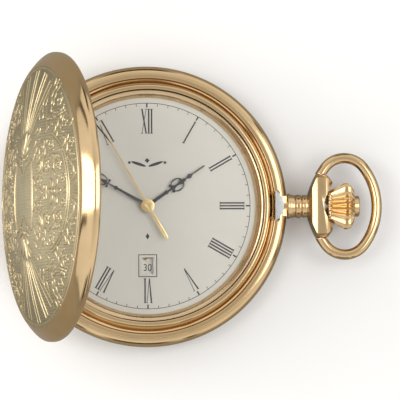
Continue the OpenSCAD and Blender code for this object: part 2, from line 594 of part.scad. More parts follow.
case_middle();
bezel();
crystal();
crystal_gasket();
flange_ring();
pendant_neck();
pendant_head();
hinge_pin();
lift_spring();
lock_spring();
spring_screws();
movement_ring();
movement_clamps();
clamp_screws();
dial();
dial_track();
dial_numerals();
dial_ornament();
date_frame();
main_plate();
train_bridge();
bridge_screws();
battery();
battery_clip();
battery_insulator();
circuit_board();
quartz_can();
control_chip();
coil_bobbin();
coil_winding();
stator();
setting_wheel();
clutch_yoke();
back_gasket();
front_cover();
cover_relief();
back_cover();
push_sleeve();
stem_bush();
crown();
stem();
sliding_pinion();
catch();
setting_lever();
bow();
bow_pins();
second_hand();
second_wheel();
minute_hand();
cannon_pinion();
hour_hand();
hour_wheel();
third_wheel();
step_wheel();
rotor();
minute_wheel();
date_driver();
date_disc();
date_digits();
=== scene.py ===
import json
import math
import random

import bpy
from mathutils import Matrix, Vector

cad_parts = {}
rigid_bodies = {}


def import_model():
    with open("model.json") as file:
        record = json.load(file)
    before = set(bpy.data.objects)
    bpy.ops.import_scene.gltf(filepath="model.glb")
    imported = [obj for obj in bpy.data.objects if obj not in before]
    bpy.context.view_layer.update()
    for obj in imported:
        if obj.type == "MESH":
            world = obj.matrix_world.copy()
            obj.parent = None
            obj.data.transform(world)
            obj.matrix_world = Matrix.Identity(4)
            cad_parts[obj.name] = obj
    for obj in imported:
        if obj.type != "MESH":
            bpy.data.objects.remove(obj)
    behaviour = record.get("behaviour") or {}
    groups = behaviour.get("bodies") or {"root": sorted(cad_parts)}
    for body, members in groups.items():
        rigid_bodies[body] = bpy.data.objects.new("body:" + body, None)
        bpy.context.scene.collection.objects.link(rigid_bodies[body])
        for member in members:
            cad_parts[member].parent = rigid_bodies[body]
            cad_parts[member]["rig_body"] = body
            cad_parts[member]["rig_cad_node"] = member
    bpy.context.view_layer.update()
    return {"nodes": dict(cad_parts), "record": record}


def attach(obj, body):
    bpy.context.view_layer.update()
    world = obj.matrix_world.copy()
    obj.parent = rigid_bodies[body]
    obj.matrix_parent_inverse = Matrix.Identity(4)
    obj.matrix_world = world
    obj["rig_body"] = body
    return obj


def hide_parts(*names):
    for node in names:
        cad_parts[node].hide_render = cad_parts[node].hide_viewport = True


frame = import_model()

print("frame loaded:", len(frame["nodes"]), "parts")

# pieces are drawn in millimetres with the cover shut, then scaled into the frame
hinge = {"x": -23.4, "z": 7.05, "open": math.radians(-75.5)}
axleZ = 4.9  # height of the stem, the bow and the pendant
toPivot = Matrix.Translation((hinge["x"], 0, hinge["z"]))
swing = toPivot @ Matrix.Rotation(hinge["open"], 4, "Y") @ toPivot.inverted()


# ---- modelling helpers
def deselectAll():
    active = bpy.context.view_layer.objects.active
    if active and active.mode != "OBJECT":
        bpy.ops.object.mode_set(mode="OBJECT")
    bpy.ops.object.select_all(action="DESELECT")


def makeActive(piece):
    deselectAll()
    piece.select_set(True)
    bpy.context.view_layer.objects.active = piece


def named(name):
    piece = bpy.context.view_layer.objects.active
    piece.name = name
    piece.data.name = name
    return piece


def drawPath(name, points, closed=False):
    # one vertex, drawn on through the points; it is left in edit mode
    deselectAll()
    bpy.ops.mesh.primitive_plane_add(size=1, location=(0, 0, 0))
    piece = named(name)
    bpy.ops.object.mode_set(mode="EDIT")
    bpy.ops.mesh.merge(type="CENTER")
    bpy.ops.transform.translate(value=points[0])
    for before, after in zip(points, points[1:]):
        step = Vector(after) - Vector(before)
        bpy.ops.mesh.extrude_vertices_move(TRANSFORM_OT_translate={"value": step})
    if closed:
        bpy.ops.mesh.select_all(action="SELECT")
        bpy.ops.mesh.edge_face_add()
    return piece


def spinOn(degrees, steps, centre, axis=(0, 0, 1)):
    # anticlockwise for a positive angle; the operator itself turns clockwise
    bpy.ops.mesh.spin(steps=steps, angle=-math.radians(degrees), center=centre, axis=axis)


def closeUp(threshold=0.0005):
    bpy.ops.mesh.select_all(action="SELECT")
    bpy.ops.mesh.remove_doubles(threshold=threshold)
    bpy.ops.mesh.delete_loose()
    bpy.ops.mesh.select_all(action="SELECT")
    bpy.ops.mesh.normals_make_consistent(inside=False)
    bpy.ops.object.mode_set(mode="OBJECT")


def turned(name, profile, axis="Z", steps=256, ring=True):
    # profile is radius and height; a ring's profile is a closed loop
    if ring:
        profile = list(profile) + [profile[0]]
    if axis == "Z":
        points = [(r, 0, h) for r, h in profile]
        centre, about = (0, 0, 0), (0, 0, 1)
    else:
        points = [(h, 0, axleZ + r) for r, h in profile]
        centre, about = (0, 0, axleZ), (1, 0, 0)
    piece = drawPath(name, points)
    bpy.ops.mesh.select_all(action="SELECT")
    spinOn(360, steps, centre, about)
    closeUp()
    return piece


def turnedPart(name, profile, start, angle, steps):
    # part of a ring, closed at both ends
    a = math.radians(start)
    points = [(r * math.cos(a), r * math.sin(a), h) for r, h in profile]
    piece = drawPath(name, points, closed=True)
    spinOn(angle, steps, (0, 0, 0))
    closeUp()
    return piece


def boxBetween(x0, x1, y0, y1, z0, z1):
    deselectAll()
    middle = ((x0 + x1) / 2, (y0 + y1) / 2, (z0 + z1) / 2)
    bpy.ops.mesh.primitive_cube_add(size=1, location=middle, scale=(x1 - x0, y1 - y0, z1 - z0))
    piece = named("tool")
    bpy.ops.object.transform_apply(location=True, rotation=True, scale=True)
    return piece


def rodBetween(axis, radius, start, end, first, second, sides=64, name="tool"):
    # first and second are the other two coordinates, in X, Y, Z order
    deselectAll()
    middle = (start + end) / 2
    place = {"X": (middle, first, second), "Y": (first, middle, second),
             "Z": (first, second, middle)}
    turn = {"X": (0, math.pi / 2, 0), "Y": (math.pi / 2, 0, 0), "Z": (0, 0, 0)}
    bpy.ops.mesh.primitive_cylinder_add(
        vertices=sides, radius=radius, depth=end - start, location=place[axis], rotation=turn[axis])
    piece = named(name)
    bpy.ops.object.transform_apply(location=True, rotation=True, scale=True)
    return piece


def combine(piece, tool, operation="DIFFERENCE"):
    makeActive(piece)
    modifier = piece.modifiers.new("combine", "BOOLEAN")
    modifier.operation = operation
    modifier.solver = "EXACT"
    modifier.object = tool
    bpy.ops.object.modifier_apply(modifier="combine")
    bpy.data.objects.remove(tool)


def bevelEdges(piece, width, segments=2, angle=30):
    makeActive(piece)
    modifier = piece.modifiers.new("bevel", "BEVEL")
    modifier.width = width
    modifier.segments = segments
    modifier.limit_method = "ANGLE"
    modifier.angle_limit = math.radians(angle)
    modifier.use_clamp_overlap = True
    bpy.ops.object.modifier_apply(modifier="bevel")
    return piece


def settle(piece, body, finish, nodes=(), lid=False, smooth=35):
    # into the frame: metres, swung open if it is on the cover, riding on its body
    makeActive(piece)
    place = Matrix.Scale(0.001, 4) @ (swing if lid else Matrix.Identity(4))
    piece.matrix_world = place @ piece.matrix_world
    bpy.ops.object.transform_apply(location=True, rotation=True, scale=True)
    bpy.ops.object.shade_smooth_by_angle(angle=math.radians(smooth))
    piece.data.materials.clear()
    for material in finish if isinstance(finish, list) else [finish]:
        piece.data.materials.append(material)
    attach(piece, body)
    if nodes:
        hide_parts(*nodes)
    return piece


# ---- shader helpers
def plug(tree, value, socket):
    if isinstance(value, Wire):
        tree.links.new(value.socket, socket)
    elif isinstance(value, (tuple, list)) and len(socket.default_value) == 4:
        socket.default_value = (*value[:3], 1)
    else:
        socket.default_value = value


class Wire:
    # a node's output that sums can be written with
    def __init__(self, tree, socket):
        self.tree = tree
        self.socket = socket

    def node(self, kind, settings=None, sockets=None, out=0):
        made = self.tree.nodes.new("ShaderNode" + kind)
        for key, value in (settings or {}).items():
            if key == "stops":
                stops = made.color_ramp.elements
                for element, (place, colour) in zip((stops[0], stops[1]), (value[0], value[-1])):
                    element.position, element.color = place, (*colour, 1)
                for place, colour in value[1:-1]:
                    stops.new(place).color = (*colour, 1)
            else:
                setattr(made, key, value)
        for key, value in (sockets or {}).items():
            plug(self.tree, value, made.inputs[key])
        return Wire(self.tree, made.outputs[out])

    def maths(self, operation, first, second=0.0):
        return self.node("Math", {"operation": operation}, {0: first, 1: second})

    def __add__(self, other):
        return self.maths("ADD", self, other)

    def __sub__(self, other):
        return self.maths("SUBTRACT", self, other)

    def __rsub__(self, other):
        return self.maths("SUBTRACT", other, self)

    def __mul__(self, other):
        return self.maths("MULTIPLY", self, other)

    def noise(self, scale, detail=4.0, roughness=0.5):
        return self.node("TexNoise", None, {"Vector": self, "Scale": scale, "Detail": detail,
                                            "Roughness": roughness})

    def stretched(self, scale):
        return self.node("Mapping", None, {"Vector": self, "Scale": scale})

    def between(self, low, high):
        # 0 below low, 1 above high
        return self.node("MapRange", None, {"Value": self, "From Min": low, "From Max": high})

    def colours(self, first, second):
        # this value mixes two colours
        return self.node("Mix", {"data_type": "RGBA"}, {0: self, 6: first, 7: second}, 2)

    def bump(self, depth):
        return self.node("Bump", None, {"Height": self, "Distance": depth, "Strength": 1.0})


def startFinish(name):
    material = bpy.data.materials.new(name)
    material.use_nodes = True
    tree = material.node_tree
    shader = tree.nodes["Principled BSDF"]
    return material, shader, Wire(tree, tree.nodes.new("ShaderNodeTexCoord").outputs["Object"])


def setShader(shader, sockets):
    for key, value in sockets.items():
        plug(shader.id_data, value, shader.inputs[key])


# ---- finishes, one for each material slot
metals = {
    "gold_plate": {"colour": (0.80, 0.58, 0.325), "deep": (0.70, 0.49, 0.255), "rough": 0.09,
                   "spread": 0.10, "smudge": 90, "grain": (900, 900, 900), "depth": 1.2e-6},
    "gilt_train": {"colour": (0.80, 0.62, 0.30), "deep": (0.66, 0.48, 0.20), "rough": 0.24,
                   "spread": 0.16, "smudge": 700, "grain": (4000, 4000, 900), "depth": 4e-6},
    "second_hand_gilt": {"colour": (0.84, 0.66, 0.34), "deep": (0.74, 0.55, 0.25), "rough": 0.30,
                         "spread": 0.12, "smudge": 500, "grain": (3500, 3500, 3500),
                         "depth": 2e-6},
    "steel": {"colour": (0.66, 0.66, 0.68), "deep": (0.52, 0.52, 0.55), "rough": 0.20,
              "spread": 0.15, "smudge": 600, "grain": (6000, 900, 900), "depth": 3e-6},
    "battery_can": {"colour": (0.72, 0.72, 0.73), "deep": (0.60, 0.60, 0.62), "rough": 0.26,
                    "spread": 0.14, "smudge": 300, "grain": (700, 7000, 700), "depth": 3e-6},
    "movement_brass": {"colour": (0.70, 0.55, 0.27), "deep": (0.56, 0.42, 0.18), "rough": 0.34,
                       "spread": 0.16, "smudge": 260, "grain": (2500, 2500, 2500),
                       "depth": 6e-6},
    "coil_copper": {"colour": (0.72, 0.33, 0.15), "deep": (0.45, 0.17, 0.07), "rough": 0.30,
                    "spread": 0.18, "smudge": 900, "grain": (14000, 500, 14000), "depth": 3e-5},
}
# colour, deep, roughness, mottle size, grain size, grain depth
plains = {
    "seal_rubber": ((0.045, 0.045, 0.047), (0.02, 0.02, 0.02), 0.72, 500, 5000, 1.2e-5),
    "seal_nylon": ((0.82, 0.81, 0.77), (0.70, 0.69, 0.64), 0.42, 300, 2600, 4e-6),
    "holder_plastic": ((0.82, 0.82, 0.79), (0.72, 0.72, 0.69), 0.48, 240, 3000, 8e-6),
    "insulator_film": ((0.80, 0.55, 0.10), (0.66, 0.40, 0.05), 0.28, 300, 1500, 3e-6),
    "bobbin_plastic": ((0.48, 0.34, 0.16), (0.36, 0.24, 0.10), 0.46, 400, 3200, 7e-6),
    "board": ((0.018, 0.11, 0.055), (0.008, 0.06, 0.03), 0.34, 800, 2400, 5e-6),
    "chip_black": ((0.022, 0.022, 0.024), (0.012, 0.012, 0.012), 0.52, 600, 6000, 7e-6),
    "date_white": ((0.80, 0.79, 0.74), (0.73, 0.71, 0.66), 0.42, 300, 4200, 2e-6),
    "print_black": ((0.012, 0.012, 0.013), (0.03, 0.03, 0.03), 0.38, 700, 4200, 2e-6),
}


def metalFinish(name, look):
    material, shader, place = startFinish(name)
    smudge = place.noise(look["smudge"], 5, 0.6)
    grain = place.stretched(look["grain"]).noise(1.0, 3, 0.6)
    dulled = smudge.between(0.3, 0.8) * look["spread"]
    setShader(shader, {
        "Base Color": smudge.between(0.35, 0.75).colours(look["colour"], look["deep"]),
        "Roughness": dulled + grain * 0.04 + (look["rough"] - 0.02),
        "Metallic": 1.0,
        "Normal": grain.bump(look["depth"]),
    })
    return material


def plainFinish(name, look):
    colour, deep, rough, mottle, grainSize, depth = look
    material, shader, place = startFinish(name)
    spots = place.noise(mottle, 4, 0.55)
    grain = place.noise(grainSize, 3, 0.6)
    setShader(shader, {
        "Base Color": spots.between(0.3, 0.75).colours(colour, deep),
        "Roughness": grain * 0.16 + (rough - 0.08),
        "Normal": grain.bump(depth),
    })
    return material


def dialFinish():
    # silvered lacquer: a very fine grain and a faint warm cloud
    material, shader, place = startFinish("dialSilver")
    grain = place.noise(5200, 3, 0.7)
    cloud = place.noise(60, 3, 0.5)
    tone = cloud.between(0.3, 0.7) * 0.35 + grain * 0.4
    setShader(shader, {
        "Base Color": tone.colours((0.71, 0.69, 0.635), (0.65, 0.63, 0.575)),
        "Roughness": grain * 0.14 + 0.42,
        "Metallic": 0.12,
        "Normal": grain.bump(1.6e-6),
    })
    return material


def handFinish():
    material, shader, place = startFinish("handBlack")
    grain = place.noise(3800, 3, 0.6)
    setShader(shader, {
        "Base Color": grain.colours((0.012, 0.012, 0.014), (0.035, 0.034, 0.036)),
        "Roughness": grain * 0.12 + 0.22,
        "Normal": grain.bump(1.5e-6),
        "Coat Weight": 0.4,
    })
    return material


def glassFinish():
    # clear to shadow rays, so the dial below is lit
    material, shader, place = startFinish("crystalGlass")
    haze = place.noise(150, 3, 0.5)
    setShader(shader, {
        "Base Color": (1.0, 1.0, 1.0),
        "Roughness": haze.between(0.4, 0.9) * 0.02,
        "Transmission Weight": 1.0,
        "IOR": 1.46,
    })
    tree = material.node_tree
    rays = place.node("LightPath", None, None, 1)
    clear = place.node("BsdfTransparent", None, {"Color": (0.97, 0.98, 0.98)})
    blend = place.node("MixShader", None, {0: rays, 1: Wire(tree, shader.outputs[0]), 2: clear})
    plug(tree, blend, tree.nodes["Material Output"].inputs["Surface"])
    return material


def engravedFinish():
    # the cover's ground: satin gold with patina in its fine engine-turned waves
    material, shader, place = startFinish("engravedGround")
    cloud = place.noise(240, 5, 0.6)
    waves = place.node("TexWave", {"bands_direction": "Y"}, {
        "Vector": place, "Scale": 620.0, "Distortion": 3.0, "Detail": 1.0, "Detail Scale": 1.4})
    speck = place.noise(2600, 4, 0.65)
    dirt = cloud.between(0.35, 0.7) * 0.5 + waves * 0.3
    setShader(shader, {
        "Base Color": dirt.colours((0.56, 0.49, 0.32), (0.36, 0.31, 0.195)),
        "Roughness": speck * 0.2 + 0.26,
        "Metallic": 1.0,
        "Normal": (waves * 0.7 + speck * 0.5).bump(2.2e-5),
    })
    return material


finishes = {name: metalFinish(name, look) for name, look in metals.items()}
finishes.update({name: plainFinish(name, look) for name, look in plains.items()})
finishes.update({"dial_silver": dialFinish(), "hand_black": handFinish(), "glass": glassFinish()})
gold = finishes["gold_plate"]
ground = engravedFinish()
reliefGold = metalFinish("reliefGold", metals["gold_plate"] | {
    "colour": (0.72, 0.60, 0.385), "deep": (0.55, 0.455, 0.27), "rough": 0.32, "smudge": 420})
for row in frame["record"]["subparts"]:
    node = frame["nodes"][row["node"]]
    node.data.materials.clear()
    node.data.materials.append(finishes[row["material_slot"]])
print("finishes:", len(finishes) + 2)


# ---- case
# profiles are radius and height, in millimetres
caseBand = {
    "radius": 24.5, "bulge": 1.6, "middle": 4.7, "soft": 0.06,
    "seam": [(20.8, 2.1), (21.95, 2.1), (21.95, 3.2), (24.15, 3.2)],
    "seat": [(23.5, 6.2), (23.1, 6.2), (23.1, 6.82), (23.02, 6.9), (22.3, 6.9), (22.25, 6.3),
             (20.8, 6.3)],
    "boss": 1.9, "stemHole": 1.25,
    "knuckle": 1.05, "knuckles": ((-6, -3.65), (-1.15, 1.15), (3.65, 6)), "pinHole": 0.4,
}


def buildCase(look):
    turn, bulge = [math.radians(a) for a in range(-60, 61, 6)], look["bulge"]
    outside = [(look["radius"] - bulge + bulge * math.cos(a), look["middle"] + bulge * math.sin(a))
               for a in turn]
    band = turned("caseBand", look["seam"] + outside + look["seat"])
    bevelEdges(band, look["soft"], 2, 40)
    boss = boxBetween(23.4, 24.58, -look["boss"], look["boss"], 3.35, 6.05)
    combine(band, bevelEdges(boss, 0.25, 4), "UNION")
    # room for the cover's knuckles and rim at the hinge
    combine(band, rodBetween("Y", 1.25, -6.15, 6.15, hinge["x"], hinge["z"]))
    room = [(22.24, 6.2), (26, 6.2), (26, 8), (22.24, 8)]
    combine(band, turnedPart("tool", room, 152, 56, 64))
    for y0, y1 in look["knuckles"]:
        knuckle = rodBetween("Y", look["knuckle"], y0, y1, hinge["x"], hinge["z"])
        combine(band, bevelEdges(knuckle, 0.07), "UNION")
        foot = boxBetween(hinge["x"] - 0.6, hinge["x"] + 0.6, y0 + 0.05, y1 - 0.05, 5.4, 7.05)
        combine(band, foot, "UNION")
    combine(band, rodBetween("Y", look["pinHole"], -7, 7, hinge["x"], hinge["z"]))
    combine(band, rodBetween("X", look["stemHole"], 20, 26, 0, axleZ))
    # the catch's slot, and the open notch above it
    combine(band, boxBetween(22.2, 23.12, -2.5, 2.5, 4, 7.5))
    combine(band, boxBetween(22.2, 24, -2.8, 2.8, 6.2, 7.5))
    return settle(band, "case", gold, ["case_middle"])


bezelRing = {
    "soft": 0.03,
    "profile": [(20.3, 6.3), (22.2, 6.3), (22.2, 6.72), (21.9, 6.85), (21.78, 6.95), (21.68, 7.12),
                (21.45, 7.78), (21.2, 8.42), (21.12, 8.58), (21.0, 8.71), (20.85, 8.79),
                (20.7, 8.8), (20.4, 8.79), (20.3, 8.77), (20.26, 8.73), (20.27, 8.7),
                (20.5, 8.66), (20.5, 7.75), (20.3, 7.75)],
}


def buildBezel(look):
    bezel = turned("bezelRing", look["profile"])
    bevelEdges(bezel, look["soft"], 2, 45)
    return settle(bezel, "case", gold, ["bezel"])


flangeRing = {
    "soft": 0.03,
    "profile": [(18.8, 6.4), (20.3, 6.4), (20.3, 7.75), (20.0, 7.75), (19.72, 7.66), (19.4, 7.48),
                (19.18, 7.26), (19.0, 6.98), (18.86, 6.68)],
}


def buildFlange(look):
    flange = turned("flangeRing", look["profile"])
    bevelEdges(flange, look["soft"], 2, 40)
    return settle(flange, "case", gold, ["flange_ring"])


crystalDisc = {
    "profile": [(0, 7.75), (20.22, 7.75), (20.3, 7.83), (20.3, 8.52), (20.24, 8.6), (20.1, 8.66),
                (19.6, 8.69), (0, 8.7)],
}


def buildCrystal(look):
    crystal = turned("crystalDisc", look["profile"], ring=False)
    return settle(crystal, "case", finishes["glass"], ["crystal"])


backShell = {
    "soft": 0.04,
    "outside": [(0, 0), (15.6, 0), (16.6, 0.01), (17.6, 0.06), (18.6, 0.17), (19.6, 0.34),
                (20.5, 0.56), (21.4, 0.84), (22.2, 1.16), (22.9, 1.52), (23.45, 1.9),
                (23.85, 2.3), (24.08, 2.7), (24.2, 3.08)],
    "inside": [(24.18, 3.15), (22, 3.15), (22, 1.85), (20.7, 1.85), (20.2, 1.45), (18, 0.98),
               (16, 0.8), (0, 0.8)],
    "notchTurn": math.radians(235),  # where a case knife lifts the back
}


def buildBack(look):
    back = turned("backShell", look["outside"] + look["inside"], ring=False)
    notch = boxBetween(23.8, 26, -2, 2, 2.85, 4)
    notch.matrix_world = Matrix.Rotation(look["notchTurn"], 4, "Z")
    combine(back, notch)
    bevelEdges(back, look["soft"], 2, 50)
    return settle(back, "back", gold, ["back_cover"])


buildCase(caseBand)
buildBezel(bezelRing)
buildFlange(flangeRing)
buildCrystal(crystalDisc)
buildBack(backShell)
print("case, bezel, flange, crystal and back done")


# ---- pendant, bow and crown, turned about the stem: radius and distance from the centre
neckRibs = {
    "sleeve": [(1, 23.3), (1.25, 23.3), (1.25, 24.58), (2.15, 24.58), (2.2, 24.63), (2.2, 24.8),
               (2.12, 24.95)],
    "ribs": [(2.03, 25.15), (1.99, 25.4), (1.97, 25.7), (1.9, 25.82), (1.78, 25.87),
             (1.78, 25.93), (1.9, 25.98), (1.98, 26.1), (2.01, 26.3), (2.01, 26.65),
             (1.98, 26.85), (1.88, 26.96), (1.75, 27.01), (1.75, 27.07), (1.87, 27.12),
             (1.96, 27.24), (1.97, 27.6), (1.94, 27.9), (1.86, 28.1), (1, 28.1)],
}


def buildNeck(look):
    neck = turned("neckRibs", look["sleeve"] + look["ribs"], "X", 128)
    return settle(neck, "case", gold, ["pendant_neck"], smooth=45)


pendantHead = {
    "goblet": [(1, 28.1), (1.9, 28.1), (2.5, 28.28), (3.3, 28.55), (4.2, 28.9), (5.0, 29.28),
               (5.45, 29.52), (5.56, 29.62), (5.56, 31.35), (5.3, 31.7), (4.4, 32.4),
               (4.15, 32.35), (3.6, 31.7), (3.1, 31.2), (2.7, 30.8), (1, 30.8)],
    "cheek": [(28, 2.1), (28.8, 2.45), (29.6, 2.65), (31.35, 2.65), (31.8, 2.35), (32.5, 1.5)],
    "soft": 0.12, "bowPin": 0.5,
}


def buildHead(look):
    # a turned goblet between flat cheeks
    head = turned("pendantHead", look["goblet"], "X", 128)
    half = look["cheek"]
    outline = [(x, -z) for x, z in half] + [(x, z) for x, z in reversed(half)]
    cheeks = drawPath("tool", [(x, -6.5, axleZ + z) for x, z in outline], closed=True)
    bpy.ops.mesh.select_all(action="SELECT")
    bpy.ops.mesh.extrude_region_move(TRANSFORM_OT_translate={"value": (0, 13, 0)})
    closeUp()
    combine(head, cheeks, "INTERSECT")
    for near, far in ((-7, -4), (4, 7)):
        combine(head, rodBetween("Y", look["bowPin"], near, far, 30.5, axleZ, 32))
    bevelEdges(head, look["soft"], 3, 28)
    return settle(head, "case", gold, ["pendant_head"], smooth=30)


# the wire's arcs meet on 3-4-5 triangles: the outer arc, then a shoulder and an inner arc each way
bowWire = {
    "wire": 0.9, "lean": math.degrees(math.asin(0.6)), "cut": 5.64,
    "outer": {"x": 29.05, "radius": 11.25, "steps": 48},
    "shoulder": {"x": 34.65, "y": 4.2, "steps": 44},
    "inner": {"x": 40.25, "short": 23, "steps": 12},
}


def buildBow(look):
    lean, outer, shoulder, inner = look["lean"], look["outer"], look["shoulder"], look["inner"]
    a = math.radians(-lean)
    start = Vector((outer["x"] + outer["radius"] * math.cos(a), outer["radius"] * math.sin(a),
                    axleZ))

    def aroundShoulder(way):
        bend = 180 - 2 * lean
        spinOn(way * bend, shoulder["steps"], (shoulder["x"], way * shoulder["y"], axleZ))
        spinOn(way * (lean - inner["short"]), inner["steps"], (inner["x"], 0, axleZ))
        bpy.ops.mesh.edge_face_add()
        closeUp()

    deselectAll()
    bpy.ops.mesh.primitive_circle_add(
        vertices=32, radius=look["wire"], location=start, rotation=(math.pi / 2, 0, a))
    bow = named("bowWire")
    bpy.ops.object.transform_apply(location=True, rotation=True, scale=True)
    bpy.ops.object.mode_set(mode="EDIT")
    bpy.ops.mesh.select_all(action="SELECT")
    spinOn(2 * lean, outer["steps"], (outer["x"], 0, axleZ))
    aroundShoulder(1)
    # the other shoulder goes back from the first ring
    makeActive(bow)
    bpy.ops.object.mode_set(mode="EDIT")
    bpy.ops.mesh.select_all(action="DESELECT")
    bpy.ops.object.mode_set(mode="OBJECT")
    for vertex in bow.data.vertices:
        vertex.select = (vertex.co - start).length < look["wire"] + 0.02
    bpy.ops.object.mode_set(mode="EDIT")
    aroundShoulder(-1)
    combine(bow, boxBetween(28, 33.2, -look["cut"], look["cut"], 3, 7))
    bevelEdges(bow, 0.05, 2, 50)
    return settle(bow, "bow_ring", gold, ["bow"], smooth=50)


crownFluted = {
    "flutes": 20, "cut": 0.75, "fadeIn": 31.7, "fadeOut": 35.9, "flutedFrom": 2.2,
    "bore": [(0, 34), (0.5, 34), (0.5, 31.6), (2.3, 31.6), (2.44, 31.66)],
    "cone": [(2.5 + 1.5 * (x - 31.8) / 2.75, x) for x in [31.8 + 0.25 * i for i in range(12)]],
    "brim": [(4.02, 34.75), (4.03, 35.0), (4.0, 35.25), (3.93, 35.45), (3.78, 35.64),
             (3.5, 35.85), (3.2, 36.05), (2.9, 36.2), (2.5, 36.25), (1.95, 36.26)],
    "button": [(1.84, 36.33), (1.82, 36.42), (1.82, 36.9), (1.78, 37.05), (1.68, 37.15),
               (1.5, 37.2), (0, 37.2)],
}


def buildCrown(look):
    profile = look["bore"] + look["cone"] + look["brim"] + look["button"]
    crown = turned("crownFluted", profile, "X", 320, ring=False)
    for vertex in crown.data.vertices:
        y, z = vertex.co.y, vertex.co.z - axleZ
        radius = math.hypot(y, z)
        if radius < look["flutedFrom"]:
            continue
        rise = min(1, max(0, (vertex.co.x - look["fadeIn"]) / 0.5))
        fall = min(1, max(0, (look["fadeOut"] + 0.45 - vertex.co.x) / 0.5))
        turn = math.atan2(z, y) * look["flutes"] / 2
        ridge = abs((turn / math.pi) % 1 - 0.5) * 2  # sharp pleats
        depth = look["cut"] * rise * fall * (1 - ridge) * (0.4 + 0.6 * radius / 4)
        vertex.co.y -= y / radius * depth
        vertex.co.z -= z / radius * depth
    return settle(crown, "winder", gold, ["crown"], smooth=40)


buildNeck(neckRibs)
buildHead(pendantHead)
buildBow(bowWire)
buildCrown(crownFluted)
print("pendant, bow and crown done")


# ---- front cover
coverLid = {
    "discRadius": 22.1, "top": 12.4, "rise": 3.1, "wall": 0.55, "insideRadius": 20.5,
    "rim": [(23.2, 6.25), (24.12, 6.25), (24.24, 6.28), (24.36, 6.38), (24.46, 6.55),
            (24.5, 6.75), (24.5, 7.33), (24.46, 7.45), (24.36, 7.6), (24.2, 7.8), (23.98, 8.03),
            (23.73, 8.27), (23.46, 8.5), (23.18, 8.73), (22.95, 8.92), (22.8, 9.03),
            (22.62, 9.14), (22.45, 9.23)],
    "edge": [(21.6, 8.82), (22.05, 8.68), (22.4, 8.5), (22.7, 8.3), (22.9, 8.1), (23.03, 7.9),
             (23.12, 7.7), (23.18, 7.45), (23.2, 7.2)],
    "knuckle": 1.05, "knuckleStarts": (-3.6, 1.2), "knuckleLength": 2.4,
    "gaps": ((-6.3, -3.6), (-1.2, 1.2), (3.6, 6.3)), "pinHole": 0.44,
}


def domeHeight(radius):
    return coverLid["top"] - coverLid["rise"] * (radius / coverLid["discRadius"]) ** 2


def buildCover(look):
    disc, inside = look["discRadius"], look["insideRadius"]
    outer = [(disc * (24 - i) / 24, domeHeight(disc * (24 - i) / 24)) for i in range(25)]
    inner = [(inside * i / 12, domeHeight(inside * i / 12) - look["wall"]) for i in range(13)]
    # the outside and the inside each end at a pole on the axis
    shell = turned("coverShell", look["rim"] + outer + inner + look["edge"])
    combine(shell, boxBetween(-25.5, -21.5, -6.12, 6.12, 5.5, 7.95))
    for y0 in look["knuckleStarts"]:
        y1 = y0 + look["knuckleLength"]
        knuckle = rodBetween("Y", look["knuckle"], y0, y1, hinge["x"], hinge["z"])
        combine(shell, bevelEdges(knuckle, 0.07), "UNION")
        combine(shell, boxBetween(-24.1, -23, y0 + 0.05, y0 + 2.35, 7.05, 8.1), "UNION")
    for y0, y1 in look["gaps"]:
        combine(shell, rodBetween("Y", 1.2, y0, y1, hinge["x"], hinge["z"]))
    combine(shell, rodBetween("Y", look["pinHole"], -7, 7, hinge["x"], hinge["z"], 32))
    combine(shell, boxBetween(22.8, 24, -2.9, 2.9, 6, 7.75))  # room for the catch
    settle(shell, "cover", [gold, ground], ["front_cover"], lid=True)
    # the disc inside the rim has the engraved ground
    shut = (Matrix.Scale(0.001, 4) @ swing).inverted()
    for face in shell.data.polygons:
        middle = shut @ face.center
        radius = math.hypot(middle.x, middle.y)
        if radius < disc - 0.2 and abs(middle.z - domeHeight(radius)) < 0.1:
            face.material_index = 1
    return shell


